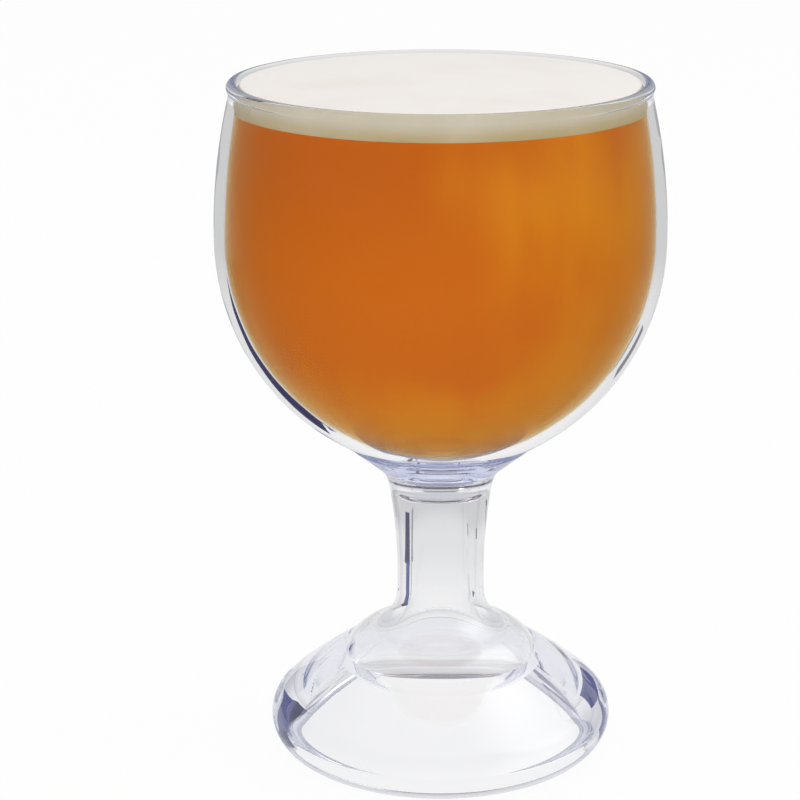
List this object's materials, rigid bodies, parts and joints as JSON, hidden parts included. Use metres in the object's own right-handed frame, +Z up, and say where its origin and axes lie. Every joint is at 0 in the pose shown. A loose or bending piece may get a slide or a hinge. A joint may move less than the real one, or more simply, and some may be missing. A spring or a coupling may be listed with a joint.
{
  "type": "schooner glass",
  "caption": "Clear plastic schooner: a wide round bowl with a drawn-in mouth and rounded lip, bonded to a hollow moulded stem and domed foot, for serving a cold drink.",
  "frame": {"origin": "on the axis of the glass, in the plane of the ring that it stands on", "axes": "+Z up along the axis of the glass, towards the mouth"},
  "size_m": [0.109, 0.109, 0.1687],
  "materials": {
    "clear_plastic": "polished clear moulding",
    "bond": "cured clear bond"
  },
  "bodies": {
    "root": {"bowl": "clear_plastic", "pedestal": "clear_plastic", "bond_ring": "bond"}
  },
  "joints": []
}
